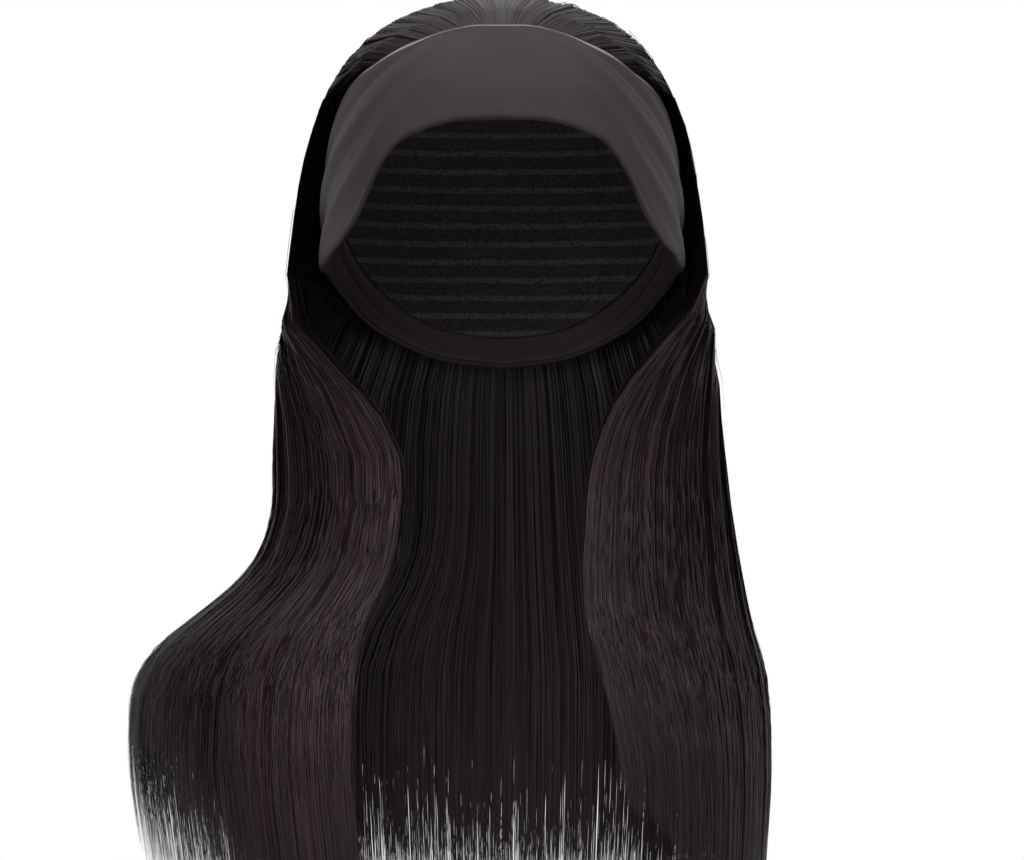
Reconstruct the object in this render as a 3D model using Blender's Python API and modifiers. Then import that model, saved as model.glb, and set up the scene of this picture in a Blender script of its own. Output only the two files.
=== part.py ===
"""Half wig: a wide gathered headband, a cap behind it and long straight hair.

Metres, +Z up. The origin is the inner crown point of the cap, where the wig sits on a head.
The wearer faces -Y. Left and right are those of someone who looks at the wig from the front,
so +X is right.
"""

from math import asin, atan2, cos, pi, radians, sin, sqrt

import bmesh
import bpy
import numpy as np
from mathutils import Vector

# Head that the wig is sized for, a guide only
HEAD_HALF_WIDTH = 0.078
HEAD_HALF_LENGTH = 0.094
HEAD_CROWN_HEIGHT = 0.100
HEAD_SQUARENESS = 2.5

# Cap
CAP_WALL = 0.0012
CAP_TUCK_WIDTH = 0.012
CAP_SECTORS = 36
CAP_RINGS = 11
CAP_COLOUR = (0.020, 0.018, 0.019)

# Headband
BAND_WIDTH = 0.0566
STRAP_WIDTH = 0.025
BAND_WALL = 0.0020
FOLD_HEIGHT = 0.0034
FOLDS_ACROSS = 2.6
FOLD_SLANT = 1.5
BAND_SECTORS = 72
BAND_ROWS = 7
BAND_COLOUR = (0.050, 0.044, 0.050)

# How far the rear edge sits lower on the right, in degrees, and the azimuths between which it
# comes in and goes out.
REAR_EDGE_DROP = 2.5
DROP_BEGINS = (10.0, 60.0)
DROP_ENDS = (150.0, 100.0)

# Hair
HAIR_LENGTH = 0.435
RIM_DROP = 0.118
HAIR_DEPTH = 0.010
TIP_DEPTH = 0.0016
THINNING_START = 0.35
EDGE_THINNING = 0.45
EDGE_THINNING_PLACES = (0.88, 1.0)
CROWN_LIFT = 0.0120
LEFT_LIFT = 0.0140
RIGHT_LIFT = 0.0105
LEFT_FULLNESS = 0.0230
RIGHT_FULLNESS = 0.0190
BACK_FULLNESS = 0.0180
LEFT_FLARE = 0.074
RIGHT_FLARE = 0.031
BACK_FLARE = 0.015
FRONT_REACH = 0.080
CROWN_RELIEF = 0.0013
CROWN_RELIEF_START = 0.15
CROWN_LOCKS = 14
CROWN_COLUMNS_PER_LOCK = 3
LOCK_RELIEF = 0.0026
LOCK_RELIEF_START = 0.3
TIP_NOTCH = 0.030
PANEL_LOCKS = 4
PANEL_COLUMNS_PER_LOCK = 4
HAIR_COLOUR = (0.014, 0.010, 0.011)

# Clearances
WRAP_GAP = 0.0010
EDGE_GAP = 0.0010
PANEL_GAP = 0.0014
SEAM_GAP = 0.0003

# Cross-section of the band by azimuth from the front, in degrees: elevation of its lower edge
# seen from the middle of the head, shares of the band's and the strap's width, and share of the
# folds' height.
BAND_TABLE = [
    # azimuth, lower edge, band share, strap share, fold share
    (0, 29.0, 1.00, 0.0, 0.00),
    (15, 27.8, 1.02, 0.0, 0.02),
    (24, 25.2, 1.03, 0.0, 0.10),
    (30, 22.4, 1.06, 0.0, 0.20),
    (35, 16.5, 1.17, 0.0, 0.32),
    (41, 6.5, 1.40, 0.0, 0.45),
    (52, -1.7, 1.50, 0.0, 0.70),
    (62, -5.5, 1.54, 0.0, 0.90),
    (75, -9.0, 1.55, 0.0, 1.00),
    (90, -11.0, 1.37, 0.0, 1.00),
    (102, -12.5, 1.12, 0.1, 0.80),
    (120, -17.0, 0.60, 0.4, 0.45),
    (140, -25.0, 0.20, 0.8, 0.15),
    (160, -32.0, 0.00, 1.0, 0.00),
    (180, -35.0, 0.00, 1.0, 0.00),
]

# Sections of the hanging hair. Drop is a share of HAIR_LENGTH, each flare and the reach are
# shares of their own named size, and the end angles are where the front edges lie, in degrees
# round from the middle of the back.
SECTION_TABLE = [
    # drop, left flare, right flare, back flare, front reach, left end, right end
    (0.27, 0.00, 0.00, 0.00, 0.34, 92, 98),
    (0.31, 0.03, 0.06, 0.04, 0.32, 108, 119),
    (0.356, 0.07, 0.13, 0.10, 0.30, 131, 140),
    (0.41, 0.08, 0.18, 0.20, 0.29, 150, 154),
    (0.46, 0.09, 0.24, 0.30, 0.30, 158, 160),
    (0.55, 0.13, 0.40, 0.50, 0.38, 159, 164),
    (0.60, 0.29, 0.54, 0.62, 0.55, 159.5, 165.5),
    (0.62, 0.43, 0.61, 0.68, 0.66, 159, 165.5),
    (0.645, 0.64, 0.69, 0.73, 0.77, 160, 165.5),
    (0.67, 0.82, 0.83, 0.78, 0.85, 161, 164),
    (0.70, 0.95, 0.95, 0.83, 0.92, 162, 163.5),
    (0.76, 1.00, 1.00, 0.91, 0.98, 162, 161),
    (0.90, 0.92, 0.90, 0.98, 1.00, 163, 158),
    (1.00, 0.82, 0.75, 1.00, 0.98, 163, 156),
]

# Where the hair ends, by its place round the curtain: -1 is the left front edge, 0 the middle
# of the back and 1 the right front edge. Tip is a share of HAIR_LENGTH.
TIP_TABLE = [
    # place, tip
    (-1.00, 0.97),
    (-0.92, 1.00),
    (-0.84, 0.96),
    (-0.76, 0.88),
    (-0.62, 0.87),
    (-0.52, 0.93),
    (-0.30, 0.99),
    (0.00, 1.00),
    (0.30, 0.99),
    (0.56, 0.97),
    (0.74, 1.00),
    (0.85, 0.93),
    (0.94, 0.87),
    (1.00, 0.83),
]

# Panels of the hanging hair: their edges round the curtain at the rim, and below the shoulder,
# where the hair on the right parts.
PANEL_TABLE = [
    # name, first edge, last edge, low first edge, low last edge
    ("left_front_hair", -1.00, -0.84, -1.00, -0.84),
    ("left_shoulder_hair", -0.84, -0.54, -0.84, -0.54),
    ("left_back_hair", -0.54, -0.18, -0.54, -0.18),
    ("centre_back_hair", -0.18, 0.18, -0.18, 0.18),
    ("right_back_hair", 0.18, 0.56, 0.18, 0.44),
    ("right_shoulder_hair", 0.56, 0.79, 0.64, 0.81),
    ("right_front_hair", 0.79, 1.00, 0.81, 1.00),
]
PARTING_START = 0.52
PARTING_END = 0.72

# Rows down a panel, as shares of its length, closer together over the shoulder.
PANEL_ROWS = [0.0, 0.12, 0.24, 0.35, 0.43, 0.49, 0.55, 0.62, 0.72, 0.84, 0.93, 1.0]

# Rise of the hair behind the band, by its run from the band to the rim. Centre is a share of
# CROWN_LIFT, and edge is a share of the full rise at the sides.
CROWN_TABLE = [
    # run, centre, edge
    (0.00, 0.34, 0.45),
    (0.05, 0.62, 0.80),
    (0.11, 0.90, 1.00),
    (0.18, 1.00, 1.00),
    (0.40, 1.08, 1.00),
    (0.70, 1.25, 1.00),
    (1.00, 1.50, 1.00),
]
CROWN_RUNS = [0.0, 0.04, 0.09, 0.16, 0.26, 0.38, 0.51, 0.64, 0.77, 0.89, 1.0]

# Azimuth at which the front edges of the hair leave the band, in degrees, and the places across
# the crown between which its rise goes over from the centre's to the sides'.
SIDE_START = 93.0
SIDE_RISE_PLACES = (0.15, 0.95)

# Where the hair's inner face comes down from the band onto the cap: degrees behind the band's
# rear edge, places across the crown, and runs.
BEHIND_BAND = 0.5
SETTLING_ANGLES = (3.5, 14.0)
LIFTED_PLACES = (0.55, 0.85)
LIFTED_RUNS = (0.02, 0.12)

HEAD_CENTRE = Vector((0.0, 0.0, -HEAD_CROWN_HEIGHT))


def smooth_step(low, high, value):
    """0 below low, 1 above high and smooth between them."""
    share = min(1.0, max(0.0, (value - low) / (high - low)))
    return share * share * (3.0 - 2.0 * share)


def read_table(table, column, place):
    """A column of a table at a place, on a smooth curve through its rows."""
    places = np.array([row[0] for row in table], dtype=float)
    values = np.array([row[column] for row in table], dtype=float)
    slopes = np.gradient(values, places)
    place = min(max(place, places[0]), places[-1])
    low = min(int(np.searchsorted(places, place, side="right")) - 1, len(places) - 2)
    span = places[low + 1] - places[low]
    share = (place - places[low]) / span
    square, cube = share**2, share**3
    return float(
        (2 * cube - 3 * square + 1) * values[low]
        + (cube - 2 * square + share) * span * slopes[low]
        + (3 * square - 2 * cube) * values[low + 1]
        + (cube - square) * span * slopes[low + 1]
    )


def direction(azimuth, elevation):
    """A unit vector from the middle of the head, by angles in degrees from the front."""
    turn, rise = radians(azimuth), radians(elevation)
    return Vector((cos(rise) * sin(turn), -cos(rise) * cos(turn), sin(rise)))


def azimuth_of(towards):
    """Azimuth of a direction from the front, in degrees, positive towards +X."""
    return atan2(towards.x, -towards.y) * 180.0 / pi


def elevation_of(towards):
    """Elevation of a direction, in degrees."""
    return asin(max(-1.0, min(1.0, towards.z / towards.length))) * 180.0 / pi


def head_radius(towards, stand_off):
    """Distance from the middle of the head to its surface grown by the stand-off."""
    half_sizes = (HEAD_HALF_WIDTH, HEAD_HALF_LENGTH, HEAD_CROWN_HEIGHT)
    shares = [abs(part) / (half + stand_off) for part, half in zip(towards, half_sizes)]
    return sum(share**HEAD_SQUARENESS for share in shares) ** (-1.0 / HEAD_SQUARENESS)


def head_point(azimuth, elevation, stand_off):
    """A point that stands off from the head by a distance."""
    towards = direction(azimuth, elevation)
    return HEAD_CENTRE + towards * head_radius(towards, stand_off)


def as_degrees(length):
    """The angle that a length takes on the head."""
    return length / HEAD_CROWN_HEIGHT * 180.0 / pi


def band_low(azimuth):
    """Elevation of the band's lower edge."""
    return read_table(BAND_TABLE, 1, abs(azimuth))


def band_high(azimuth):
    """Elevation of the band's rear edge."""
    turn = abs(azimuth)
    width = BAND_WIDTH * read_table(BAND_TABLE, 2, turn) + STRAP_WIDTH * read_table(BAND_TABLE, 3, turn)
    side_drop = REAR_EDGE_DROP * smooth_step(*DROP_BEGINS, azimuth) * smooth_step(*DROP_ENDS, azimuth)
    return band_low(azimuth) + as_degrees(width) - side_drop


def band_inside():
    """Stand-off of the band's inner face, over the cap."""
    return CAP_WALL + WRAP_GAP


def fold_relief(azimuth, across):
    """Height of the gathers, which run from the rear edge down to the ears."""
    share = read_table(BAND_TABLE, 4, abs(azimuth))
    phase = FOLDS_ACROSS * across + FOLD_SLANT * abs(azimuth) / 90.0
    return FOLD_HEIGHT * max(0.0, share) * (0.5 - 0.5 * cos(2.0 * pi * phase))


def over_band(azimuth):
    """Stand-off of what lies over the band's folds."""
    folds = FOLD_HEIGHT * max(0.0, read_table(BAND_TABLE, 4, abs(azimuth)))
    return band_inside() + BAND_WALL + folds + WRAP_GAP


def lock_relief(place, locks):
    """Share of the dip between locks: 1 between two locks and 0 on top of one."""
    return 1.0 - sqrt(abs(sin(pi * locks * place)))


def curtain_point(place, drop, depth):
    """A point of the hanging hair: its place round the curtain, drop and depth inside it."""
    share = drop / HAIR_LENGTH
    if place < 0.0:
        half_width = HEAD_HALF_WIDTH + LEFT_FULLNESS + LEFT_FLARE * read_table(SECTION_TABLE, 1, share)
        end_angle = read_table(SECTION_TABLE, 5, share)
    else:
        half_width = HEAD_HALF_WIDTH + RIGHT_FULLNESS + RIGHT_FLARE * read_table(SECTION_TABLE, 2, share)
        end_angle = read_table(SECTION_TABLE, 6, share)
    back = HEAD_HALF_LENGTH + BACK_FULLNESS + BACK_FLARE * read_table(SECTION_TABLE, 3, share)
    reach = FRONT_REACH * read_table(SECTION_TABLE, 4, share)
    angle = radians(end_angle) * place
    power = 2.0 / HEAD_SQUARENESS
    across = (half_width - depth) * abs(sin(angle)) ** power
    along = (back if cos(angle) > 0.0 else reach) - depth
    x = across if place > 0.0 else -across
    y = along * abs(cos(angle)) ** power * (1.0 if cos(angle) > 0.0 else -1.0)
    return Vector((x, y, -drop))


def half_seam(place, drop):
    """Half of the gap between two panels, as a share of the way round the curtain."""
    near = 0.005
    ahead = curtain_point(place + near, drop, HAIR_DEPTH)
    behind = curtain_point(place - near, drop, HAIR_DEPTH)
    return PANEL_GAP * 0.5 * 2.0 * near / (ahead - behind).length


def edge_taper(place):
    """Share of the full depth that the hair keeps towards its front edges."""
    return 1.0 - EDGE_THINNING * smooth_step(*EDGE_THINNING_PLACES, abs(place))


def crown_start(place):
    """Direction of the band's rear edge where a lock begins."""
    azimuth = SIDE_START * place
    return direction(azimuth, band_high(azimuth) + as_degrees(EDGE_GAP))


def crown_stand_off(place, run):
    """Stand-off of the hair's outer face over the crown."""
    centre = CROWN_LIFT * read_table(CROWN_TABLE, 1, run)
    lift, fullness = (LEFT_LIFT, LEFT_FULLNESS) if place < 0.0 else (RIGHT_LIFT, RIGHT_FULLNESS)
    side = (lift + (fullness - lift) * run) * read_table(CROWN_TABLE, 2, run)
    return centre + (side - centre) * smooth_step(*SIDE_RISE_PLACES, abs(place))


def crown_inner_stand_off(towards, place, run):
    """Stand-off of the hair's inner face: on the cap, and lifted over the band at the sides."""
    azimuth, elevation = azimuth_of(towards), elevation_of(towards)
    behind = elevation - band_high(azimuth)
    raised = 1.0
    if behind > BEHIND_BAND:
        near = 1.0 - smooth_step(*SETTLING_ANGLES, behind)
        raised = near * max(smooth_step(*LIFTED_PLACES, abs(place)), smooth_step(*LIFTED_RUNS, run))
    return band_inside() + (over_band(azimuth) - band_inside()) * raised


def crown_point(place, run, inside, dip):
    """A point of the crown hair: its place across, and its run from the band to the rim."""
    rim_depth = HAIR_DEPTH * edge_taper(place) if inside else dip
    rim = curtain_point(place, RIM_DROP - SEAM_GAP * 0.5, rim_depth) - HEAD_CENTRE
    towards = crown_start(place).slerp(rim.normalized(), run)
    if inside:
        stand_off = crown_inner_stand_off(towards, place, run)
        rim_off = crown_inner_stand_off(rim.normalized(), place, 1.0)
    else:
        stand_off = crown_stand_off(place, run) - dip
        rim_off = crown_stand_off(place, 1.0) - dip
    match = rim.length / head_radius(rim.normalized(), rim_off)
    radius = head_radius(towards, stand_off) * (1.0 + (match - 1.0) * run**3)
    return HEAD_CENTRE + towards * radius


def loft_shell(name, outer, inner, columns, rows, ring=False):
    """One closed solid between an outer and an inner grid of points."""
    mesh = bmesh.new()
    count = columns if ring else columns + 1
    top = [[mesh.verts.new(outer(i, j)) for j in range(rows + 1)] for i in range(count)]
    under = [[mesh.verts.new(inner(i, j)) for j in range(rows + 1)] for i in range(count)]
    for i in range(columns):
        after = (i + 1) % count
        for j in range(rows):
            mesh.faces.new((top[i][j], top[i][j + 1], top[after][j + 1], top[after][j]))
            mesh.faces.new((under[i][j], under[after][j], under[after][j + 1], under[i][j + 1]))
        for j in (0, rows):
            mesh.faces.new((top[i][j], top[after][j], under[after][j], under[i][j]))
    if not ring:
        # Both panels at a seam split its faces along the same diagonal, so that the faces match.
        for i in (0, count - 1):
            for j in range(rows):
                mesh.faces.new((top[i][j], under[i][j], under[i][j + 1]))
                mesh.faces.new((top[i][j], under[i][j + 1], top[i][j + 1]))
    bmesh.ops.recalc_face_normals(mesh, faces=mesh.faces[:])
    bmesh.ops.triangulate(mesh, faces=mesh.faces[:])
    return add_object(name, mesh)


def add_object(name, mesh):
    """Turn a bmesh into a named object of the wig."""
    data = bpy.data.meshes.new(name)
    mesh.to_mesh(data)
    mesh.free()
    data.shade_smooth()
    made = bpy.data.objects.new(name, data)
    WIG.objects.link(made)
    return made


def add_material(made, colour, roughness):
    """Give an object its own plain material."""
    material = bpy.data.materials.new(made.name)
    material.use_nodes = True
    surface = material.node_tree.nodes["Principled BSDF"]
    surface.inputs["Base Color"].default_value = (*colour, 1.0)
    surface.inputs["Roughness"].default_value = roughness
    surface.inputs["Metallic"].default_value = 0.0
    made.data.materials.append(material)


def make_cap():
    """The cap: a dome over the head whose edge is tucked under the band."""
    mesh = bmesh.new()
    bmesh.ops.create_uvsphere(mesh, u_segments=CAP_SECTORS, v_segments=2 * CAP_RINGS, radius=1.0)
    below = [vertex for vertex in mesh.verts if vertex.co.z < -0.001]
    bmesh.ops.delete(mesh, geom=below, context="VERTS")
    for vertex in mesh.verts:
        azimuth = azimuth_of(vertex.co)
        share = 1.0 - elevation_of(vertex.co) / 90.0
        edge = band_high(azimuth) - as_degrees(CAP_TUCK_WIDTH)
        vertex.co = head_point(azimuth, 90.0 - share * (90.0 - edge), 0.0)
    bmesh.ops.recalc_face_normals(mesh, faces=mesh.faces[:])
    cap = add_object("cap", mesh)
    wall = cap.modifiers.new("wall", "SOLIDIFY")
    wall.thickness = CAP_WALL
    wall.offset = 1.0
    return cap


def make_headband():
    """The band: wide and gathered over the forehead and ears, a plain strap round the nape."""

    def face(i, j, stand_off):
        azimuth = (360.0 * i / BAND_SECTORS + 180.0) % 360.0 - 180.0
        across = j / BAND_ROWS
        low = band_low(azimuth)
        elevation = low + (band_high(azimuth) - low) * across
        return head_point(azimuth, elevation, stand_off + fold_relief(azimuth, across))

    return loft_shell(
        "headband",
        lambda i, j: face(i, j, band_inside() + BAND_WALL),
        lambda i, j: face(i, j, band_inside()),
        BAND_SECTORS,
        BAND_ROWS,
        ring=True,
    )


def make_crown_hair():
    """The hair combed back over the cap, in one sheet of ridged locks."""
    columns = CROWN_LOCKS * CROWN_COLUMNS_PER_LOCK

    def outer(i, j):
        across = i / columns
        begun = smooth_step(0.0, CROWN_RELIEF_START, CROWN_RUNS[j])
        dip = CROWN_RELIEF * lock_relief(across, CROWN_LOCKS) * begun
        return crown_point(2.0 * across - 1.0, CROWN_RUNS[j], False, dip)

    def inner(i, j):
        return crown_point(2.0 * i / columns - 1.0, CROWN_RUNS[j], True, 0.0)

    return loft_shell("crown_hair", outer, inner, columns, len(CROWN_RUNS) - 1)


def make_panel(name, first, last, low_first, low_last):
    """One strip of hanging hair whose locks end in points."""
    columns = PANEL_LOCKS * PANEL_COLUMNS_PER_LOCK

    def tip_drop(across):
        """Where the hair ends at this share of the panel's width."""
        place = first + (last - first) * across
        notch = TIP_NOTCH * lock_relief(across, PANEL_LOCKS)
        return HAIR_LENGTH * read_table(TIP_TABLE, 1, place) - notch

    def place_at(across, drop):
        """Place round the curtain, with the seam's gap taken off at both edges."""
        parted = smooth_step(PARTING_START, PARTING_END, drop / HAIR_LENGTH)
        start = first + (low_first - first) * parted
        end = last + (low_last - last) * parted
        start += half_seam(start, drop) if first > -1.0 else 0.0
        end -= half_seam(end, drop) if last < 1.0 else 0.0
        return start + (end - start) * across

    def point(i, j, inside):
        across = i / columns
        top = RIM_DROP + SEAM_GAP * 0.5
        drop = top + (tip_drop(across) - top) * PANEL_ROWS[j]
        place = place_at(across, drop)
        thinning = smooth_step(THINNING_START, 1.0, PANEL_ROWS[j])
        depth = HAIR_DEPTH * edge_taper(place) * (1.0 - thinning) + TIP_DEPTH * thinning
        begun = smooth_step(0.0, LOCK_RELIEF_START, PANEL_ROWS[j])
        dip = min(LOCK_RELIEF * lock_relief(across, PANEL_LOCKS) * begun, depth * 0.5)
        return curtain_point(place, drop, depth if inside else dip)

    return loft_shell(
        name,
        lambda i, j: point(i, j, False),
        lambda i, j: point(i, j, True),
        columns,
        len(PANEL_ROWS) - 1,
    )


for old in list(bpy.data.objects):
    bpy.data.objects.remove(old, do_unlink=True)
WIG = bpy.data.collections.new("half_wig")
bpy.context.scene.collection.children.link(WIG)

add_material(make_headband(), BAND_COLOUR, 0.75)
add_material(make_cap(), CAP_COLOUR, 0.85)
add_material(make_crown_hair(), HAIR_COLOUR, 0.45)
for panel in PANEL_TABLE:
    add_material(make_panel(*panel), HAIR_COLOUR, 0.45)
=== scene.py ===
"""Looks of the half wig: hair strands, gathered headband cloth, cap net, light and floor."""

import bmesh
import bpy
import numpy as np
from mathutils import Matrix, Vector


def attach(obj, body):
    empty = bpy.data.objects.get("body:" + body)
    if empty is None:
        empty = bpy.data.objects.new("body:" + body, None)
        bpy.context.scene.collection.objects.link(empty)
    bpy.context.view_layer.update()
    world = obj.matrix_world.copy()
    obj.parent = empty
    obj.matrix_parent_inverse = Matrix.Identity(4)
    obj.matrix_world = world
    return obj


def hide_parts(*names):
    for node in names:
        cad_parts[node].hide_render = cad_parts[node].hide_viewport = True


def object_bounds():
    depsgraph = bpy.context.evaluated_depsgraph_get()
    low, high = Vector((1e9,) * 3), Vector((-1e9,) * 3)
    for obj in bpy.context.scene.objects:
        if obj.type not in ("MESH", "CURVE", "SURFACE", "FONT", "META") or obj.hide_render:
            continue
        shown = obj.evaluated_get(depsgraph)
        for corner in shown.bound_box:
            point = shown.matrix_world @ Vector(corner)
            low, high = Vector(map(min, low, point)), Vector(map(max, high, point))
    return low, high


bl_info = {
    "name": "Half wig",
    "version": (1, 0, 0),
    "blender": (4, 5, 0),
    "location": "View3D > Sidebar > Half wig",
    "description": "Dresses the packed half wig with hair strands, cloth, light and floor",
    "category": "Object",
}

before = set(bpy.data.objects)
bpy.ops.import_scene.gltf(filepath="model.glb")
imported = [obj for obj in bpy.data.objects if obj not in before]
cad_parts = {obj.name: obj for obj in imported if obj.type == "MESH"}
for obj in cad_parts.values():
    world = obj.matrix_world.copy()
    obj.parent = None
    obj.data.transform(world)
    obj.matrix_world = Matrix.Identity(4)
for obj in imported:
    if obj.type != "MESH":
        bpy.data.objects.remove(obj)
CAD_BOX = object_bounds()

# Head that the wig is sized for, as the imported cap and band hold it
HEAD_HALF_SIZES = np.array([0.078, 0.094, 0.100])
HEAD_CENTRE = np.array([0.0, 0.0, -0.100])
HEAD_SQUARENESS = 2.5
CAP_WALL = 0.0012
WRAP_GAP = 0.0010
EDGE_GAP = 0.0010

# Photograph's frame, for the camera
PHOTO_WIDTH = 1024
PHOTO_HEIGHT = 860
METRES_PER_PIXEL = 0.000463
MIDLINE_PIXEL = 502
ORIGIN_PIXEL = 18

# Cross-section of the band by azimuth from the front: elevation of its lower edge in degrees,
# shares of the band's and the strap's width, and share of the folds' height.
BAND_TABLE = [
    # azimuth, lower edge, band share, strap share, fold share
    (0, 29.0, 1.00, 0.0, 0.00),
    (15, 27.8, 1.02, 0.0, 0.02),
    (24, 25.2, 1.03, 0.0, 0.10),
    (30, 22.4, 1.06, 0.0, 0.20),
    (35, 16.5, 1.17, 0.0, 0.32),
    (41, 6.5, 1.40, 0.0, 0.45),
    (52, -1.7, 1.50, 0.0, 0.70),
    (62, -5.5, 1.54, 0.0, 0.90),
    (75, -9.0, 1.55, 0.0, 1.00),
    (90, -11.0, 1.37, 0.0, 1.00),
    (102, -12.5, 1.12, 0.1, 0.80),
    (120, -17.0, 0.60, 0.4, 0.45),
    (140, -25.0, 0.20, 0.8, 0.15),
    (160, -32.0, 0.00, 1.0, 0.00),
    (180, -35.0, 0.00, 1.0, 0.00),
]

# Sections of the hanging hair, as shares of the hair's length, flares and reach.
SECTION_TABLE = [
    # drop, left flare, right flare, back flare, front reach, left end, right end
    (0.27, 0.00, 0.00, 0.00, 0.34, 92, 98),
    (0.31, 0.03, 0.06, 0.04, 0.32, 108, 119),
    (0.356, 0.07, 0.13, 0.10, 0.30, 131, 140),
    (0.41, 0.08, 0.18, 0.20, 0.29, 150, 154),
    (0.46, 0.09, 0.24, 0.30, 0.30, 158, 160),
    (0.55, 0.13, 0.40, 0.50, 0.38, 159, 164),
    (0.60, 0.29, 0.54, 0.62, 0.55, 159.5, 165.5),
    (0.62, 0.43, 0.61, 0.68, 0.66, 159, 165.5),
    (0.645, 0.64, 0.69, 0.73, 0.77, 160, 165.5),
    (0.67, 0.82, 0.83, 0.78, 0.85, 161, 164),
    (0.70, 0.95, 0.95, 0.83, 0.92, 162, 163.5),
    (0.76, 1.00, 1.00, 0.91, 0.98, 162, 161),
    (0.90, 0.92, 0.90, 0.98, 1.00, 163, 158),
    (1.00, 0.82, 0.75, 1.00, 0.98, 163, 156),
]

# Where the hair ends, by its place round the curtain, as a share of the hair's length.
TIP_TABLE = [
    # place, tip
    (-1.00, 0.97),
    (-0.92, 1.00),
    (-0.84, 0.96),
    (-0.76, 0.88),
    (-0.62, 0.87),
    (-0.52, 0.93),
    (-0.30, 0.99),
    (0.00, 1.00),
    (0.30, 0.99),
    (0.56, 0.97),
    (0.74, 1.00),
    (0.85, 0.93),
    (0.94, 0.87),
    (1.00, 0.83),
]

# Rise of the hair behind the band, by its run from the band to the rim.
CROWN_TABLE = [
    # run, centre, edge
    (0.00, 0.34, 0.45),
    (0.05, 0.62, 0.80),
    (0.11, 0.90, 1.00),
    (0.18, 1.00, 1.00),
    (0.40, 1.08, 1.00),
    (0.70, 1.25, 1.00),
    (1.00, 1.50, 1.00),
]

# How the tips thin out, by place: the spread of their lengths as a share of the hair's length,
# and evenness, where 1 thins them evenly and more keeps them full.
CUT_TABLE = [
    # place, cut, evenness
    (-1.00, 0.15, 1.5),
    (-0.92, 0.10, 2.0),
    (-0.84, 0.17, 1.3),
    (-0.76, 0.24, 1.0),
    (-0.62, 0.24, 0.9),
    (-0.54, 0.20, 1.0),
    (-0.40, 0.13, 1.7),
    (0.00, 0.09, 2.4),
    (0.50, 0.10, 2.2),
    (0.74, 0.11, 2.0),
    (0.85, 0.14, 1.7),
    (0.94, 0.15, 1.4),
    (1.00, 0.17, 1.2),
]

# Groups of strands, one for each panel of hanging hair.
HAIR_GROUPS = [
    # name, node, first, last, low first, low last, strands, clumping
    ("left_front_strands", "left_front_hair", -1.00, -0.84, -1.00, -0.84, 3700, 0.30),
    ("left_shoulder_strands", "left_shoulder_hair", -0.84, -0.54, -0.84, -0.54, 2500, 0.30),
    ("left_back_strands", "left_back_hair", -0.54, -0.18, -0.54, -0.18, 3300, 0.15),
    ("centre_back_strands", "centre_back_hair", -0.18, 0.18, -0.18, 0.18, 3300, 0.12),
    ("right_back_strands", "right_back_hair", 0.18, 0.56, 0.18, 0.44, 3200, 0.15),
    ("right_shoulder_strands", "right_shoulder_hair", 0.56, 0.79, 0.64, 0.81, 3100, 0.25),
    ("right_front_strands", "right_front_hair", 0.79, 1.00, 0.81, 1.00, 3700, 0.30),
]
PARTING_START = 0.52
PARTING_END = 0.72
CROWN_POINTS = 8
FALL_SHARES = np.array([0.09, 0.19, 0.28, 0.36, 0.43, 0.49, 0.55, 0.62, 0.70, 0.80, 0.90, 1.0])
LOCKS_PER_GROUP = 13
BROAD_STRANDS = 150
BROAD_WIDTH = 0.0022
LOOSE_SHARE = 0.006
STRAND_SEED = 31

# Drop of the band's rear edge on the right in degrees, and the azimuths where it begins and ends
SIDE_DROP = 2.5
DROP_BEGINS = (10.0, 60.0)
DROP_ENDS = (100.0, 150.0)

# Crown hair: azimuth of its outermost locks, and places across and runs from the band to the rim
CROWN_SPAN = 93.0
EDGE_THINNING = 0.45
EDGE_THINNING_PLACES = (0.88, 1.0)
SIDE_RISE_PLACES = (0.15, 0.95)
LIFTED_PLACES = (0.55, 0.85)
LIFTED_RUNS = (0.02, 0.12)

# Degrees behind the band's rear edge: where the hair leaves the band, where it starts to settle
# on the cap, and the turn that it takes to settle
BAND_MARGIN = 0.5
BEHIND_BAND = 3.5
SETTLING_ANGLE = 10.5

# Level at which the strands are evenly spaced, as a share of the hair's length
SPACING_LEVEL = 0.65

# Heights in the hair's depth as shares of it, and the share of strands near the outer face
OUTER_SHARE = 0.55
OUTER_FACE = 0.75
LOCK_RELIEF = 0.10
BROAD_HEIGHT = 0.45
LOOSE_HEIGHT = 0.20
ROOT_RISE = 0.10

# Where the strands start along the crown, and how its points are spaced
FROM_BAND_SHARE = 0.62
BAND_ROOTS = 0.015
CROWN_ROOTS = 0.85
CROWN_SPACING = 1.25

# Sway of the strands and their gathering into locks, by share of the group's width
LEAST_SWAY = 0.004
MORE_SWAY = 0.008
LOOSE_SWAY = 4.0
SWAY_TURN = 5.0
GATHERING = 1.6
PLACE_LIMIT = 1.006

# Ends, thinning, roll in degrees and width of the strands
LOCK_CUT = 0.02
BROAD_CUT = 0.65
TIP_THINNING = 0.45
TIP_THINNING_SHARES = (0.35, 1.0)
STRAND_ROLL = 24.0
WIDTH_SPREAD = (0.7, 1.35)
POINT_NARROWING = 0.85
POINT_STEPS = (0.78, 1.0)

# Gathers of the band: folds across it, their slant, and the finer folds with their share
FOLDS_ACROSS = 2.6
FOLD_SLANT = 1.5
FINE_FOLDS = 2.3
FINE_SHARE_LEFT = 0.22
FINE_SHARE_RIGHT = 0.40

# Mesh of the band's cloth, and its hems and rolled edges by share of the width
BAND_COLUMNS = 270
BAND_ROWS = 30
CLOTH_HALF_LENGTH = 0.28
CLOTH_HALF_WIDTH = 0.03
HEM_RISE = 0.0004
HEM_SHARES = (0.05, 0.09)
EDGE_ROLL = 0.0005
EDGE_SHARES = (0.0, 0.02)
WELD_DISTANCE = 0.00002

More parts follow.
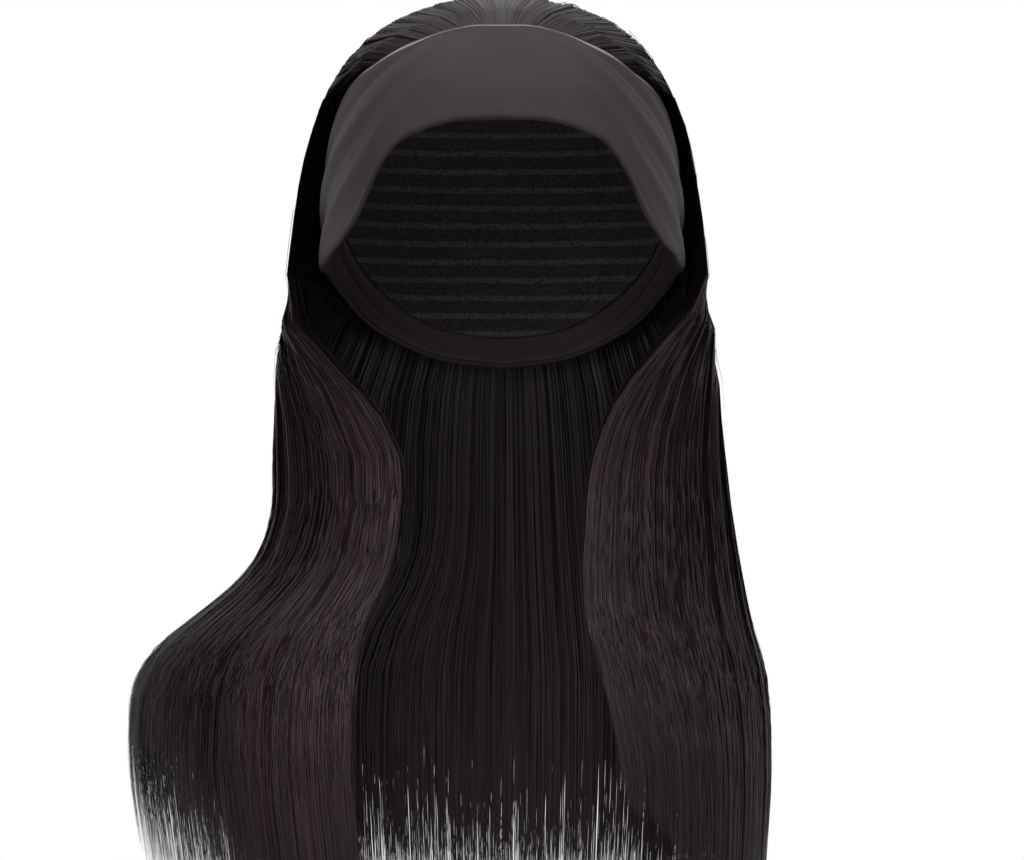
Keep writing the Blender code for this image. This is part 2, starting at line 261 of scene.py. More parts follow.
# Floor, lights and camera
FLOOR_RADIUS = 0.6
FLOOR_GAP = 0.03
LIGHTS = [
    # name, place, size, power
    ("front_light", (-0.5, -1.9, 0.7), 1.2, 19.0),
    ("right_light", (1.3, -1.2, 0.5), 0.9, 7.0),
    ("top_light", (0.0, -0.3, 1.3), 0.9, 16.0),
]
LIT_POINT = (0.0, 0.0, -0.15)
CAMERA_DISTANCE = 2.4
SCALE_DEPTH = 0.03


class HairSizes(bpy.types.PropertyGroup):
    """Sizes and colours of the hair."""

    length: bpy.props.FloatProperty(
        name="Length", description="From the crown to the longest tips", default=0.435, unit="LENGTH"
    )
    rim_drop: bpy.props.FloatProperty(
        name="Rim", description="Drop at which the hair leaves the head", default=0.118, unit="LENGTH"
    )
    depth: bpy.props.FloatProperty(
        name="Depth", description="Depth of the hanging hair", default=0.010, unit="LENGTH"
    )
    crown_lift: bpy.props.FloatProperty(
        name="Crown lift", description="Height of the hair over the crown", default=0.012, unit="LENGTH"
    )
    left_lift: bpy.props.FloatProperty(
        name="Left lift", description="Lift beside the band on the left", default=0.014, unit="LENGTH"
    )
    right_lift: bpy.props.FloatProperty(
        name="Right lift", description="Lift beside the band on the right", default=0.0105, unit="LENGTH"
    )
    left_fullness: bpy.props.FloatProperty(
        name="Left fullness", description="Stand-off at the rim, left", default=0.023, unit="LENGTH"
    )
    right_fullness: bpy.props.FloatProperty(
        name="Right fullness", description="Stand-off at the rim, right", default=0.019, unit="LENGTH"
    )
    back_fullness: bpy.props.FloatProperty(
        name="Back fullness", description="Stand-off at the rim, behind", default=0.018, unit="LENGTH"
    )
    left_flare: bpy.props.FloatProperty(
        name="Left flare", description="Spread over the left shoulder", default=0.074, unit="LENGTH"
    )
    right_flare: bpy.props.FloatProperty(
        name="Right flare", description="Spread over the right shoulder", default=0.031, unit="LENGTH"
    )
    back_flare: bpy.props.FloatProperty(
        name="Back flare", description="Spread behind", default=0.015, unit="LENGTH"
    )
    front_reach: bpy.props.FloatProperty(
        name="Front reach", description="How far the front locks come forward", default=0.080, unit="LENGTH"
    )
    strand_width: bpy.props.FloatProperty(
        name="Strand width", description="Width of one strand", default=0.00046, unit="LENGTH", precision=5
    )
    root_colour: bpy.props.FloatVectorProperty(
        name="Colour",
        description="Main colour of the hair",
        subtype="COLOR",
        size=3,
        default=(0.0052, 0.0040, 0.0048),
    )
    tip_colour: bpy.props.FloatVectorProperty(
        name="Tip colour",
        description="Colour towards the tips",
        subtype="COLOR",
        size=3,
        default=(0.0100, 0.0068, 0.0082),
    )
    # Painted glow: a redder colour laid over the outermost strands, for light shining through the thin
    # hair.
    painted_glow_colour: bpy.props.FloatVectorProperty(
        name="Painted glow colour",
        description="Colour of the outermost strands",
        subtype="COLOR",
        size=3,
        default=(0.0165, 0.0085, 0.0100),
    )


class BandSizes(bpy.types.PropertyGroup):
    """Sizes and colours of the headband and the cap."""

    width: bpy.props.FloatProperty(
        name="Front width", description="Width over the forehead", default=0.0566, unit="LENGTH"
    )
    strap_width: bpy.props.FloatProperty(
        name="Strap width", description="Width round the nape", default=0.025, unit="LENGTH"
    )
    wall: bpy.props.FloatProperty(
        name="Cloth", description="Thickness of the folded cloth", default=0.0020, unit="LENGTH"
    )
    fold_height: bpy.props.FloatProperty(
        name="Fold height", description="Height of the gathers", default=0.0034, unit="LENGTH"
    )
    colour: bpy.props.FloatVectorProperty(
        name="Cloth colour",
        description="Colour of the band",
        subtype="COLOR",
        size=3,
        default=(0.0165, 0.0118, 0.0148),
    )
    piping_colour: bpy.props.FloatVectorProperty(
        name="Piping colour",
        description="Colour of the rear edge",
        subtype="COLOR",
        size=3,
        default=(0.210, 0.185, 0.200),
    )
    cap_colour: bpy.props.FloatVectorProperty(
        name="Cap colour",
        description="Colour of the cap's net",
        subtype="COLOR",
        size=3,
        default=(0.0075, 0.0062, 0.0068),
    )


def smooth_step(low, high, value):
    """0 below low, 1 above high and smooth between them."""
    share = np.clip((np.asarray(value, dtype=float) - low) / (high - low), 0.0, 1.0)
    return share * share * (3.0 - 2.0 * share)


def read_table(table, column, place):
    """A column of a table at places, on a smooth curve through its rows."""
    places = np.array([row[0] for row in table], dtype=float)
    values = np.array([row[column] for row in table], dtype=float)
    slopes = np.gradient(values, places)
    place = np.clip(np.asarray(place, dtype=float), places[0], places[-1])
    low = np.clip(np.searchsorted(places, place, side="right") - 1, 0, len(places) - 2)
    span = places[low + 1] - places[low]
    share = (place - places[low]) / span
    square, cube = share**2, share**3
    return (
        (2 * cube - 3 * square + 1) * values[low]
        + (cube - 2 * square + share) * span * slopes[low]
        + (3 * square - 2 * cube) * values[low + 1]
        + (cube - square) * span * slopes[low + 1]
    )


def direction(azimuth, elevation):
    """Unit vectors from the middle of the head, by angles in degrees from the front."""
    turn, rise = np.radians(azimuth), np.radians(elevation)
    parts = (np.cos(rise) * np.sin(turn), -np.cos(rise) * np.cos(turn), np.sin(rise))
    return np.stack(np.broadcast_arrays(*parts), axis=-1)


def unit(vectors):
    """Vectors brought to a length of one."""
    return vectors / np.maximum(np.linalg.norm(vectors, axis=-1, keepdims=True), 1e-12)


def azimuth_of(towards):
    """Azimuth of directions from the front, in degrees."""
    return np.degrees(np.arctan2(towards[..., 0], -towards[..., 1]))


def elevation_of(towards):
    """Elevation of directions, in degrees."""
    return np.degrees(np.arcsin(np.clip(towards[..., 2], -1.0, 1.0)))


def head_radius(towards, stand_off):
    """Distance from the middle of the head to its surface grown by the stand-off."""
    grown = HEAD_HALF_SIZES + np.asarray(stand_off)[..., None]
    return ((np.abs(towards) / grown) ** HEAD_SQUARENESS).sum(axis=-1) ** (-1.0 / HEAD_SQUARENESS)


def as_degrees(length):
    """The angle that a length takes on the head."""
    return np.degrees(length / HEAD_HALF_SIZES[2])


def band_low(azimuth):
    """Elevation of the band's lower edge."""
    return read_table(BAND_TABLE, 1, np.abs(azimuth))


def band_high(azimuth):
    """Elevation of the band's rear edge."""
    band = bpy.context.scene.wig_band
    turn = np.abs(azimuth)
    front = band.width * read_table(BAND_TABLE, 2, turn)
    strap = band.strap_width * read_table(BAND_TABLE, 3, turn)
    side_drop = SIDE_DROP * smooth_step(*DROP_BEGINS, azimuth) * (1.0 - smooth_step(*DROP_ENDS, azimuth))
    return band_low(azimuth) + as_degrees(front + strap) - side_drop


def over_band(azimuth):
    """Stand-off of what lies over the band's folds."""
    band = bpy.context.scene.wig_band
    folds = band.fold_height * np.maximum(0.0, read_table(BAND_TABLE, 4, np.abs(azimuth)))
    return CAP_WALL + WRAP_GAP + band.wall + folds + WRAP_GAP


def curtain_point(place, drop, depth):
    """Points of the hanging hair: their place round the curtain, drop and depth inside it."""
    hair = bpy.context.scene.wig_hair
    share = drop / hair.length
    left = place < 0.0
    fullness = np.where(left, hair.left_fullness, hair.right_fullness)
    flare = np.where(
        left,
        hair.left_flare * read_table(SECTION_TABLE, 1, share),
        hair.right_flare * read_table(SECTION_TABLE, 2, share),
    )
    half_width = HEAD_HALF_SIZES[0] + fullness + flare
    end_angle = np.where(left, read_table(SECTION_TABLE, 5, share), read_table(SECTION_TABLE, 6, share))
    back = HEAD_HALF_SIZES[1] + hair.back_fullness + hair.back_flare * read_table(SECTION_TABLE, 3, share)
    reach = hair.front_reach * read_table(SECTION_TABLE, 4, share)
    angle = np.radians(end_angle) * place
    power = 2.0 / HEAD_SQUARENESS
    x = np.sign(place) * (half_width - depth) * np.abs(np.sin(angle)) ** power
    behind = np.cos(angle) > 0.0
    along = np.where(behind, back, reach) - depth
    y = along * np.abs(np.cos(angle)) ** power * np.where(behind, 1.0, -1.0)
    return np.stack(np.broadcast_arrays(x, y, -drop), axis=-1)


def edge_taper(place):
    """Share of the full depth that the hair keeps towards its front edges."""
    return 1.0 - EDGE_THINNING * smooth_step(*EDGE_THINNING_PLACES, np.abs(place))


def crown_points(place, run):
    """Inner and outer points of the crown hair, by place across and run from band to rim."""
    hair = bpy.context.scene.wig_hair
    start_azimuth = CROWN_SPAN * place
    start = direction(start_azimuth, band_high(start_azimuth) + as_degrees(EDGE_GAP))
    left = place < 0.0
    lift = np.where(left, hair.left_lift, hair.right_lift)
    fullness = np.where(left, hair.left_fullness, hair.right_fullness)
    settled = np.maximum(smooth_step(*LIFTED_PLACES, np.abs(place)), smooth_step(*LIFTED_RUNS, run))
    found = []
    for inside in (True, False):
        depth = hair.depth * edge_taper(place) if inside else 0.0 * place
        rim = curtain_point(place, np.full_like(place, hair.rim_drop), depth) - HEAD_CENTRE
        rim_towards = unit(rim)
        swing = np.arccos(np.clip((start * rim_towards).sum(axis=-1), -1.0, 1.0))[..., None]
        share = run[..., None]
        from_band, from_rim = np.sin((1 - share) * swing), np.sin(share * swing)
        towards = unit((from_band * start + from_rim * rim_towards) / np.sin(swing))
        offs = []
        for way, along in ((towards, run), (rim_towards, np.ones_like(run))):
            if inside:
                azimuth, elevation = azimuth_of(way), elevation_of(way)
                high = band_high(azimuth)
                near = 1.0 - smooth_step(0.0, 1.0, (elevation - high - BEHIND_BAND) / SETTLING_ANGLE)
                raised = np.where(elevation > high + BAND_MARGIN, near * settled, 1.0)
                offs.append(CAP_WALL + WRAP_GAP + (over_band(azimuth) - CAP_WALL - WRAP_GAP) * raised)
            else:
                centre = hair.crown_lift * read_table(CROWN_TABLE, 1, along)
                side = (lift + (fullness - lift) * along) * read_table(CROWN_TABLE, 2, along)
                offs.append(centre + (side - centre) * smooth_step(*SIDE_RISE_PLACES, np.abs(place)))
        match = np.linalg.norm(rim, axis=-1) / head_radius(rim_towards, offs[1])
        radius = head_radius(towards, offs[0]) * (1.0 + (match - 1.0) * run**3)
        found.append(HEAD_CENTRE + towards * radius[..., None])
    return found


def new_object(name, data):
    """A piece of the wig that rides with it."""
    made = bpy.data.objects.new(name, data)
    bpy.context.scene.collection.objects.link(made)
    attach(made, "root")
    return made


def add_node(tree, kind, inputs=None, **settings):
    """A shader node whose inputs are set to values or linked to sockets."""
    node = tree.nodes.new(kind)
    for name, value in settings.items():
        setattr(node, name, value)
    for name, value in (inputs or {}).items():
        if isinstance(value, bpy.types.NodeSocket):
            tree.links.new(value, node.inputs[name])
        else:
            node.inputs[name].default_value = value
    return node


def add_group(name, inputs, outputs):
    """An empty shader group with its sockets."""
    group = bpy.data.node_groups.new(name, "ShaderNodeTree")
    for title, kind in inputs.items():
        group.interface.new_socket(name=title, in_out="INPUT", socket_type=kind)
    for title, kind in outputs.items():
        group.interface.new_socket(name=title, in_out="OUTPUT", socket_type=kind)
    given = group.nodes.new("NodeGroupInput").outputs
    return group, given


def map_range(tree, value, from_low, from_high, to_low, to_high):
    """A value carried from one range to another, kept inside it."""
    inputs = {
        "Value": value,
        "From Min": from_low,
        "From Max": from_high,
        "To Min": to_low,
        "To Max": to_high,
    }
    return add_node(tree, "ShaderNodeMapRange", inputs).outputs["Result"]


def mix_colours(tree, factor, first, second):
    """The second colour laid over the first by a factor."""
    inputs = {"Factor": factor}
    node = add_node(tree, "ShaderNodeMix", inputs, data_type="RGBA")
    for number, value in ((6, first), (7, second)):
        tree.links.new(value, node.inputs[number])
    return node.outputs[2]


def scale_colour(tree, colour, scale):
    """A colour made lighter or darker by a value."""
    node = add_node(tree, "ShaderNodeVectorMath", {0: colour, "Scale": scale}, operation="SCALE")
    return node.outputs[0]


def strand_group(name):
    """Shader group: hair colour and roughness by strand and down the length, and a painted glow by height
    in the hair.
    """
    colour, value = "NodeSocketColor", "NodeSocketFloat"
    tree, given = add_group(
        name, {"Root": colour, "Tip": colour, "Painted glow": colour}, {"Colour": colour, "Roughness": value}
    )
    strand = add_node(tree, "ShaderNodeUVMap", uv_map="strand").outputs["UV"]
    chance, along, _ = add_node(tree, "ShaderNodeSeparateXYZ", {0: strand}).outputs
    layer = add_node(tree, "ShaderNodeUVMap", uv_map="layer").outputs["UV"]
    height = add_node(tree, "ShaderNodeSeparateXYZ", {0: layer}).outputs["X"]
    down = map_range(tree, along, 0.40, 1.0, 0.0, 1.0)
    body = mix_colours(tree, down, given["Root"], given["Tip"])
    # Painted glow: the outermost strands turn redder, for light shining through the thin hair.
    outermost = map_range(tree, height, 0.86, 1.0, 0.0, 0.6)
    tinted = mix_colours(tree, outermost, body, given["Painted glow"])
    shade = map_range(tree, chance, 0.0, 1.0, 0.55, 1.5)
    gloss = map_range(tree, chance, 0.0, 1.0, 0.36, 0.50)
    add_node(
        tree, "NodeGroupOutput", {"Colour": scale_colour(tree, tinted, shade), "Roughness": gloss}
    )
    return tree


def hair_material(group):
    """Dark silky hair, a little redder towards the tips, with a painted reddish glow on its outermost
    strands.
    """
    hair = bpy.context.scene.wig_hair
    material = bpy.data.materials.new("silky_hair")
    material.use_nodes = True
    tree = material.node_tree
    inputs = {
        "Root": (*hair.root_colour, 1.0),
        "Tip": (*hair.tip_colour, 1.0),
        "Painted glow": (*hair.painted_glow_colour, 1.0),
    }
    tone = add_node(tree, "ShaderNodeGroup", node_tree=group)
    for title, colour in inputs.items():
        tone.inputs[title].default_value = colour
    surface = tree.nodes["Principled BSDF"]
    surface.inputs["Specular IOR Level"].default_value = 0.20
    surface.inputs["Specular Tint"].default_value = (1.0, 0.86, 0.94, 1.0)
    tree.links.new(tone.outputs["Colour"], surface.inputs["Base Color"])
    tree.links.new(tone.outputs["Roughness"], surface.inputs["Roughness"])
    return material


def even_spots(first, last, shares):
    """Spots across a group that lie evenly along the hanging hair, by shares of its width."""
    spots = np.linspace(0.0, 1.0, 200)
    level = np.full_like(spots, SPACING_LEVEL * bpy.context.scene.wig_hair.length)
    points = curtain_point(first + (last - first) * spots, level, 0.0 * spots)
    lengths = np.cumsum(np.linalg.norm(np.diff(points, axis=0, prepend=points[:1]), axis=1))
    return np.interp(shares, lengths / lengths[-1], spots)


def strand_paths(group, draw):
    """Points, outward directions and heights of a group's strands, the broad underlayer first."""
    hair = bpy.context.scene.wig_hair
    first, last, low_first, low_last, fine, clumping = group[2:]
    count = BROAD_STRANDS + fine
    broad = np.arange(count) < BROAD_STRANDS
    shares = np.where(broad, (np.arange(count) + 0.5) / BROAD_STRANDS, draw.random(count))
    spot = even_spots(first, last, shares)
    lock_middles = np.sort(draw.random(LOCKS_PER_GROUP))
    lock = np.abs(spot[:, None] - lock_middles[None, :]).argmin(axis=1)
    drawn = np.where(broad, 0.0, clumping * draw.random(count))

    # Over half of the strands lie near the outer face, and the rest fill the depth.
    chance = draw.random(count)
    near_face = draw.random(count) < OUTER_SHARE
    filling = np.where(near_face, OUTER_FACE + (1.0 - OUTER_FACE) * chance, OUTER_FACE * chance)
    lock_height = 1.0 - LOCK_RELIEF + LOCK_RELIEF * draw.random(LOCKS_PER_GROUP)[lock]
    loose = ~broad & (draw.random(count) < LOOSE_SHARE)
    height = np.where(broad, BROAD_HEIGHT, filling * lock_height)
    height = height + np.where(loose, LOOSE_HEIGHT * draw.random(count), 0.0)

    # Most strands start at the band, and the others along the crown.
    from_band = broad | (draw.random(count) < FROM_BAND_SHARE)
    root = np.where(from_band, BAND_ROOTS, CROWN_ROOTS) * draw.random(count)
    sway = (LEAST_SWAY + MORE_SWAY * draw.random(count) ** 3) * np.where(loose, LOOSE_SWAY, 1.0) * ~broad
    phase = draw.random(count) * 2.0 * np.pi
    whole = first + (last - first) * spot
    cut, evenness = read_table(CUT_TABLE, 1, whole), read_table(CUT_TABLE, 2, whole)
    fine_loss = cut * draw.random(count) ** evenness + LOCK_CUT * draw.random(LOCKS_PER_GROUP)[lock]
    loss = np.where(broad, cut * (BROAD_CUT + (1.0 - BROAD_CUT) * draw.random(count)), fine_loss)
    tip = hair.length * (read_table(TIP_TABLE, 1, whole) - loss)

    run = root[:, None] + (1.0 - root[:, None]) * np.linspace(0.0, 1.0, CROWN_POINTS) ** CROWN_SPACING
    inner_crown, outer_crown = crown_points(np.repeat(whole[:, None], CROWN_POINTS, axis=1), run)
    drop = hair.rim_drop + (tip[:, None] - hair.rim_drop) * FALL_SHARES
    parted = smooth_step(PARTING_START, PARTING_END, drop / hair.length)
    start = first + (low_first - first) * parted
    end = last + (low_last - last) * parted
    pull = (lock_middles[lock] - spot) * drawn
    across = spot[:, None] + pull[:, None] * FALL_SHARES**GATHERING
    across = across + sway[:, None] * FALL_SHARES * np.sin(phase[:, None] + SWAY_TURN * FALL_SHARES)
    place = np.clip(start + (end - start) * across, -PLACE_LIMIT, PLACE_LIMIT)
    thinned = 1.0 - TIP_THINNING * smooth_step(*TIP_THINNING_SHARES, FALL_SHARES)
    depth = hair.depth * edge_taper(place) * thinned
    inner = np.concatenate([inner_crown, curtain_point(place, drop, depth)], axis=1)
    outer = np.concatenate([outer_crown, curtain_point(place, drop, 0.0 * depth)], axis=1)
    steps = np.linspace(0.0, 1.0, inner.shape[1])
    rise = smooth_step(0.0, ROOT_RISE, steps) * height[:, None]
    return inner + (outer - inner) * rise[..., None], unit(outer - inner), height


def strand_mesh(name, points, outward, height, draw):
    """One mesh of flat tapered ribbons along the strands."""
    hair = bpy.context.scene.wig_hair
    count, rows = points.shape[:2]
    steps = np.linspace(0.0, 1.0, rows)
    broad = np.arange(count) < BROAD_STRANDS
    side = unit(np.cross(unit(np.gradient(points, axis=1)), outward))
    roll = np.radians(np.where(broad, 0.0, draw.uniform(-STRAND_ROLL, STRAND_ROLL, count)))[:, None, None]
    face = side * np.cos(roll) + outward * np.sin(roll)
    width = np.where(broad, BROAD_WIDTH, hair.strand_width * draw.uniform(*WIDTH_SPREAD, count))
    half = 0.5 * width[:, None] * (1.0 - POINT_NARROWING * smooth_step(*POINT_STEPS, steps))
    left, right = points - face * half[..., None], points + face * half[..., None]
    vertices = np.stack([left, right], axis=2).reshape(-1, 3)
    base = (np.arange(count) * rows * 2)[:, None] + (np.arange(rows - 1) * 2)[None, :]
    faces = np.stack([base, base + 1, base + 3, base + 2], axis=-1).reshape(-1, 4)
    mesh = bpy.data.meshes.new(name)
    mesh.vertices.add(len(vertices))
    mesh.vertices.foreach_set("co", vertices.ravel())
    mesh.loops.add(faces.size)
    mesh.loops.foreach_set("vertex_index", faces.ravel())
    mesh.polygons.add(len(faces))
    mesh.polygons.foreach_set("loop_start", np.arange(len(faces)) * 4)
    mesh.update(calc_edges=True)
    mesh.shade_smooth()
    along = np.tile(np.repeat(steps, 2), count)
    for title, share in (("strand", draw.random(count)), ("layer", height)):
        places = np.stack([np.repeat(share, rows * 2), along], axis=1)
        layer = mesh.uv_layers.new(name=title)
        layer.data.foreach_set("uv", places[faces.ravel()].ravel())
    return mesh


class WIG_OT_hair(bpy.types.Operator):
    """Make the strands of hair from the band's rear edge over the crown to the tips"""

    bl_idname = "wig.hair"
    bl_label = "Hair strands"

    def execute(self, context):
        material = hair_material(strand_group("strand_tone"))
        for number, group in enumerate(HAIR_GROUPS):
            draw = np.random.default_rng(STRAND_SEED + number)
            points, outward, height = strand_paths(group, draw)
            mesh = strand_mesh(group[0], points, outward, height, draw)
            made = new_object(group[0], mesh)
            made.data.materials.append(material)
            nodes = [group[1], "crown_hair"] if group[1] == "centre_back_hair" else [group[1]]
            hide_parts(*nodes)
        return {"FINISHED"}


def cloth_group(name):
    """Shader group: fine knit, soft mottling, a light rear edge with a painted fade to the sides, and a
    painted shadow on the front edge.
    """
    colour, value = "NodeSocketColor", "NodeSocketFloat"
    tree, given = add_group(name, {"Colour": colour, "Piping": colour}, {"Colour": colour, "Height": value})
    place = add_node(tree, "ShaderNodeUVMap", uv_map="cloth").outputs["UV"]
    around, across, _ = add_node(tree, "ShaderNodeSeparateXYZ", {0: place}).outputs
    knit = add_node(tree, "ShaderNodeTexWave", {"Vector": place, "Scale": 900.0, "Distortion": 1.2})
    mottle = add_node(tree, "ShaderNodeTexNoise", {"Vector": place, "Scale": 45.0, "Detail": 3.0})
    shade = map_range(tree, mottle.outputs["Fac"], 0.3, 0.7, 0.90, 1.10)
    body = scale_colour(tree, given["Colour"], shade)
    turned = add_node(tree, "ShaderNodeMath", {0: around}, operation="ABSOLUTE").outputs[0]
    # The rear edge's light colour is the band's own, but its fade from the front to a quarter at the sides
    # is painted light.
    painted_piping_fade = map_range(tree, turned, 0.030, 0.100, 1.0, 0.25)
    at_rear = map_range(tree, across, 0.0278, 0.0284, 0.0, 1.0)
    piping_and_painted_fade = add_node(tree, "ShaderNodeMath", {0: painted_piping_fade, 1: at_rear}, operation="MULTIPLY").outputs[0]
    edged = mix_colours(tree, piping_and_painted_fade, body, given["Piping"])
    # Painted shadow: the band's front edge is darkened to under half over about a millimetre.
    painted_front_shadow = map_range(tree, across, -0.0296, -0.0284, 0.45, 1.0)
    finished = scale_colour(tree, edged, painted_front_shadow)
    add_node(tree, "NodeGroupOutput", {"Colour": finished, "Height": knit.outputs["Fac"]})
    return tree


def net_group(name):
    """Shader group: a net with a sewn row of weft every few millimetres."""
    colour, value = "NodeSocketColor", "NodeSocketFloat"
    tree, given = add_group(name, {"Colour": colour}, {"Colour": colour, "Height": value})
    place = add_node(tree, "ShaderNodeTexCoord").outputs["Object"]
    rows = add_node(
        tree,
        "ShaderNodeTexWave",
        {"Vector": place, "Scale": 36.0, "Distortion": 0.4, "Detail": 1.0},
        bands_direction="Z",
        wave_profile="SIN",
    ).outputs["Fac"]
    holes = add_node(tree, "ShaderNodeTexVoronoi", {"Vector": place, "Scale": 620.0}).outputs["Distance"]
    open_net = map_range(tree, holes, 0.15, 0.55, 0.35, 1.6)
    weft = map_range(tree, rows, 0.72, 0.86, 0.0, 1.0)
    sewn = map_range(tree, weft, 0.0, 1.0, 1.0, 2.6)
    shade = add_node(tree, "ShaderNodeMath", {0: open_net, 1: sewn}, operation="MULTIPLY").outputs[0]
    height = add_node(tree, "ShaderNodeMath", {0: weft, 1: holes}, operation="ADD").outputs[0]
    add_node(
        tree, "NodeGroupOutput", {"Colour": scale_colour(tree, given["Colour"], shade), "Height": height}
    )
    return tree


def cloth_material(name, group, colours, roughness, relief):
    """A cloth whose colour and relief come from a shader group."""
    material = bpy.data.materials.new(name)
    material.use_nodes = True
    tree = material.node_tree
    weave = add_node(tree, "ShaderNodeGroup", node_tree=group)
    for title, colour in colours.items():
        weave.inputs[title].default_value = (*colour, 1.0)
    bump = add_node(
        tree, "ShaderNodeBump", {"Height": weave.outputs["Height"], "Strength": 0.3, "Distance": relief}
    )
    surface = tree.nodes["Principled BSDF"]
    surface.inputs["Roughness"].default_value = roughness
    surface.inputs["Specular IOR Level"].default_value = 0.16
    tree.links.new(bump.outputs["Normal"], surface.inputs["Normal"])
    tree.links.new(weave.outputs["Colour"], surface.inputs["Base Color"])
    return material


def fold_relief(azimuth, across):
    """Height of the band's gathers, which run from its rear edge down to the ears."""
    band = bpy.context.scene.wig_band
    turn = np.abs(azimuth)
    share = np.maximum(0.0, read_table(BAND_TABLE, 4, turn))
    phase = FOLDS_ACROSS * across + FOLD_SLANT * turn / 90.0
    main = 0.5 - 0.5 * np.cos(2.0 * np.pi * phase)
    fine = 0.5 - 0.5 * np.cos(2.0 * np.pi * FINE_FOLDS * phase)
    finer = np.where(azimuth > 0.0, FINE_SHARE_RIGHT, FINE_SHARE_LEFT)
    return band.fold_height * share * ((1.0 - finer) * main + finer * fine)


def band_surface(azimuth, across, stand_off):
    """Points of the band's cloth by azimuth and share of its width."""
    low = band_low(azimuth)
    elevation = low + (band_high(azimuth) - low) * across
    towards = direction(azimuth, elevation)
    lift = stand_off + fold_relief(azimuth, across)
    return HEAD_CENTRE + towards * head_radius(towards, lift)[..., None]


class WIG_OT_headband(bpy.types.Operator):
    """Make the gathered headband with its turned hems"""

    bl_idname = "wig.headband"
    bl_label = "Headband"

    def execute(self, context):
        band = context.scene.wig_band
        colours = {"Colour": band.colour, "Piping": band.piping_colour}
        cloth = cloth_material("satin_knit", cloth_group("band_cloth"), colours, 0.6, 0.0002)
        mesh = bmesh.new()
        uv = mesh.loops.layers.uv.new("cloth")
        bmesh.ops.create_grid(mesh, x_segments=BAND_COLUMNS, y_segments=BAND_ROWS, size=1.0)
        for face in mesh.faces:
            for loop in face.loops:
                place = loop.vert.co
                loop[uv].uv = (place.x * CLOTH_HALF_LENGTH, place.y * CLOTH_HALF_WIDTH)
        mesh.verts.ensure_lookup_table()
        flat = np.array([vertex.co[:] for vertex in mesh.verts])
        across = flat[:, 1] * 0.5 + 0.5
        hem = np.minimum(across, 1.0 - across)
        raised = HEM_RISE * (1.0 - smooth_step(*HEM_SHARES, hem))
        rolled = EDGE_ROLL * (1.0 - smooth_step(*EDGE_SHARES, hem))
        stand_off = CAP_WALL + WRAP_GAP + (raised - rolled)
        placed = band_surface(flat[:, 0] * 180.0, across, stand_off)
        for vertex, point in zip(mesh.verts, placed):
            vertex.co = Vector(point)
        bmesh.ops.remove_doubles(mesh, verts=mesh.verts[:], dist=WELD_DISTANCE)
        data = bpy.data.meshes.new("headband_cloth")
        mesh.to_mesh(data)
        mesh.free()
        data.shade_smooth()
        made = new_object("headband_cloth", data)
        made.data.materials.append(cloth)
        wall = made.modifiers.new("wall", "SOLIDIFY")
        wall.thickness = band.wall
        wall.offset = 1.0
        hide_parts("headband")
        return {"FINISHED"}


class WIG_OT_cap(bpy.types.Operator):
    """Dress the cap's solid with its net and rows of weft"""

    bl_idname = "wig.cap"
    bl_label = "Cap net"

    def execute(self, context):
        band = context.scene.wig_band
        net = cloth_material("cap_net", net_group("weft_net"), {"Colour": band.cap_colour}, 0.85, 0.0008)
        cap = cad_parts["cap"]
        cap.data.materials.clear()
        cap.data.materials.append(net)
        cap.data.shade_smooth()
        return {"FINISHED"}


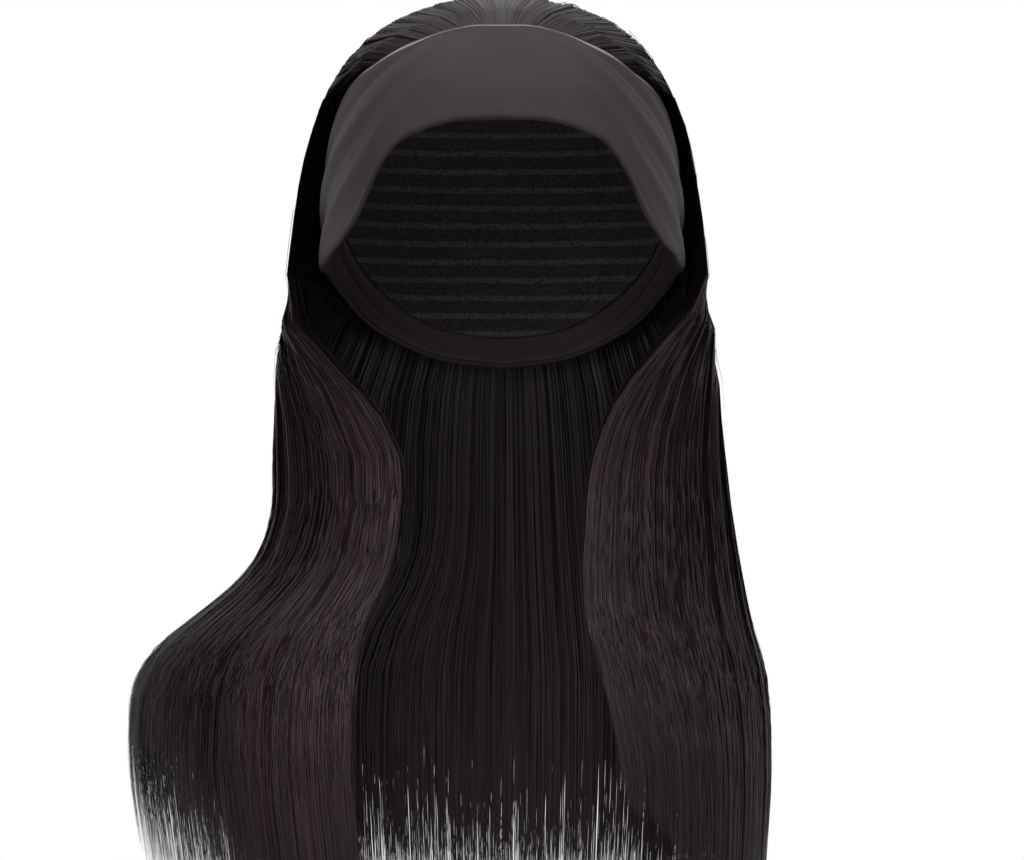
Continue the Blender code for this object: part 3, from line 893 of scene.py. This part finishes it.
class WIG_OT_stage(bpy.types.Operator):
    """Make the floor, the lights and the camera"""

    bl_idname = "wig.stage"
    bl_label = "Floor, light and camera"

    def execute(self, context):
        scene = context.scene
        mesh = bmesh.new()
        bmesh.ops.create_circle(mesh, cap_ends=True, segments=96, radius=FLOOR_RADIUS)
        bmesh.ops.translate(mesh, verts=mesh.verts[:], vec=(0.0, 0.0, CAD_BOX[0][2] - FLOOR_GAP))
        data = bpy.data.meshes.new("pale_floor")
        mesh.to_mesh(data)
        mesh.free()
        floor = bpy.data.objects.new("pale_floor", data)
        scene.collection.objects.link(floor)
        material = bpy.data.materials.new("pale_floor")
        material.use_nodes = True
        surface = material.node_tree.nodes["Principled BSDF"]
        surface.inputs["Base Color"].default_value = (0.9, 0.9, 0.9, 1.0)
        surface.inputs["Roughness"].default_value = 1.0
        surface.inputs["Emission Color"].default_value = (1.0, 1.0, 1.0, 1.0)
        surface.inputs["Emission Strength"].default_value = 0.15
        floor.data.materials.append(material)
        world = bpy.data.worlds.new("studio")
        scene.world = world
        world.use_nodes = True
        world.node_tree.nodes["Background"].inputs["Color"].default_value = (1.0, 1.0, 1.0, 1.0)
        world.node_tree.nodes["Background"].inputs["Strength"].default_value = 1.0
        middle = Vector(LIT_POINT)
        for name, place, size, power in LIGHTS:
            lamp = bpy.data.lights.new(name, "AREA")
            lamp.size = size
            lamp.energy = power
            holder = bpy.data.objects.new(name, lamp)
            holder.location = place
            holder.rotation_euler = (middle - Vector(place)).to_track_quat("-Z", "Y").to_euler()
            scene.collection.objects.link(holder)
        lens = bpy.data.cameras.new("photo_view")
        lens.sensor_width = 36.0
        lens.lens = lens.sensor_width * CAMERA_DISTANCE / (PHOTO_WIDTH * METRES_PER_PIXEL)
        eye = bpy.data.objects.new("photo_view", lens)
        across = (PHOTO_WIDTH / 2 - MIDLINE_PIXEL) * METRES_PER_PIXEL
        height = (ORIGIN_PIXEL - PHOTO_HEIGHT / 2) * METRES_PER_PIXEL
        eye.location = (across, -CAMERA_DISTANCE - SCALE_DEPTH, height)
        eye.rotation_euler = (np.pi / 2, 0.0, 0.0)
        scene.collection.objects.link(eye)
        scene.camera = eye
        scene.view_settings.view_transform = "Standard"
        return {"FINISHED"}


class WIG_PT_panel(bpy.types.Panel):
    """Half wig tools"""

    bl_label = "Half wig"
    bl_idname = "WIG_PT_panel"
    bl_space_type = "VIEW_3D"
    bl_region_type = "UI"
    bl_category = "Half wig"

    def draw(self, context):
        for group in (context.scene.wig_hair, context.scene.wig_band):
            for name in group.__annotations__:
                self.layout.prop(group, name)
        for operator in (WIG_OT_stage, WIG_OT_headband, WIG_OT_cap, WIG_OT_hair):
            self.layout.operator(operator.bl_idname)


CLASSES = (
    HairSizes,
    BandSizes,
    WIG_OT_stage,
    WIG_OT_headband,
    WIG_OT_cap,
    WIG_OT_hair,
    WIG_PT_panel,
)


def register():
    """Add the sizes, operators and panel."""
    for kind in CLASSES:
        bpy.utils.register_class(kind)
    bpy.types.Scene.wig_hair = bpy.props.PointerProperty(type=HairSizes)
    bpy.types.Scene.wig_band = bpy.props.PointerProperty(type=BandSizes)


def unregister():
    """Take the sizes, operators and panel away."""
    del bpy.types.Scene.wig_hair
    del bpy.types.Scene.wig_band
    for kind in reversed(CLASSES):
        bpy.utils.unregister_class(kind)


def main():
    """Build the stage and the wig's looks."""
    register()
    bpy.ops.wig.stage()
    bpy.ops.wig.headband()
    bpy.ops.wig.cap()
    bpy.ops.wig.hair()
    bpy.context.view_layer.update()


if __name__ == "__main__":
    main()
